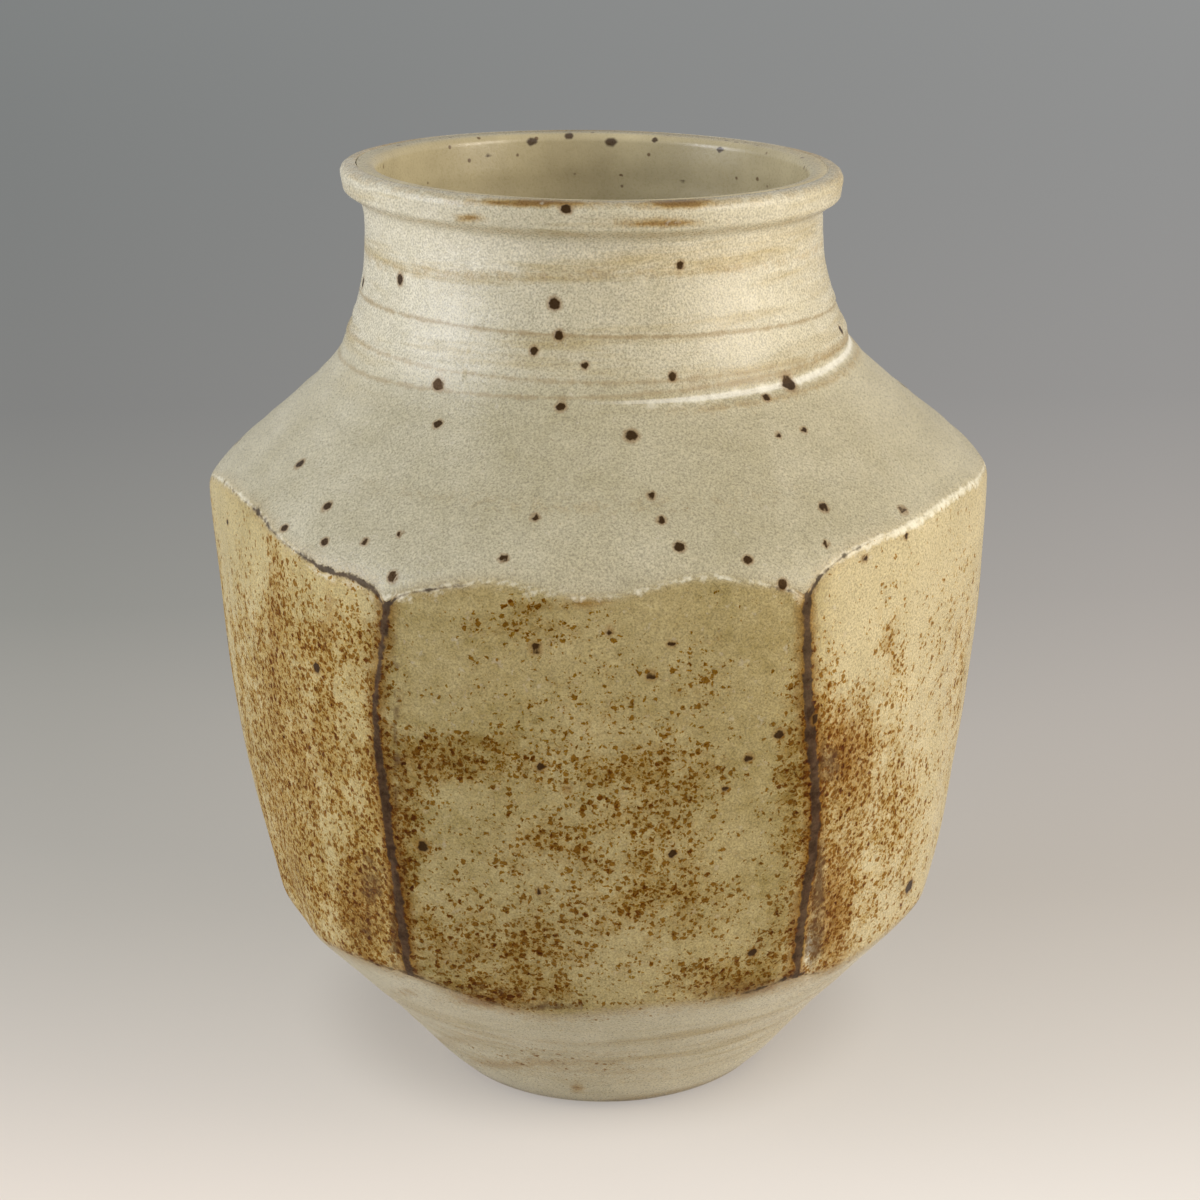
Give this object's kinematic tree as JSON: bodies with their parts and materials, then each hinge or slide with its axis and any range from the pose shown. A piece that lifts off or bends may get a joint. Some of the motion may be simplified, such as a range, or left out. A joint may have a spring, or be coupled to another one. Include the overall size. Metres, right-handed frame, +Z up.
{
  "type": "faceted stoneware jar",
  "caption": "Open stoneware jar with a faceted belly, sloping shoulder, wide neck, rolled rim and narrow turned foot; stands on its foot and holds dry goods, water or stems.",
  "frame": {"origin": "centre of the foot, on the surface that the jar stands on", "axes": "+Z up along the axis that the jar was thrown on; -Y is square to one facet, and +X and -X each point at a corner between two facets"},
  "size_m": [0.1894, 0.1806, 0.2265],
  "materials": {
    "stoneware": "bare fired stoneware, matt and gritty",
    "joining_slip": "fired joining slip, matt",
    "outer_glaze": "semi-matt speckled oatmeal glaze, breaking brown on edges",
    "liner_glaze": "satin speckled glaze"
  },
  "bodies": {
    "root": {"lower_bowl": "stoneware", "upper_bowl": "stoneware", "neck": "stoneware", "belly_joint_slip": "joining_slip", "neck_joint_slip": "joining_slip", "outer_glaze": "outer_glaze", "liner_glaze": "liner_glaze"}
  },
  "joints": []
}
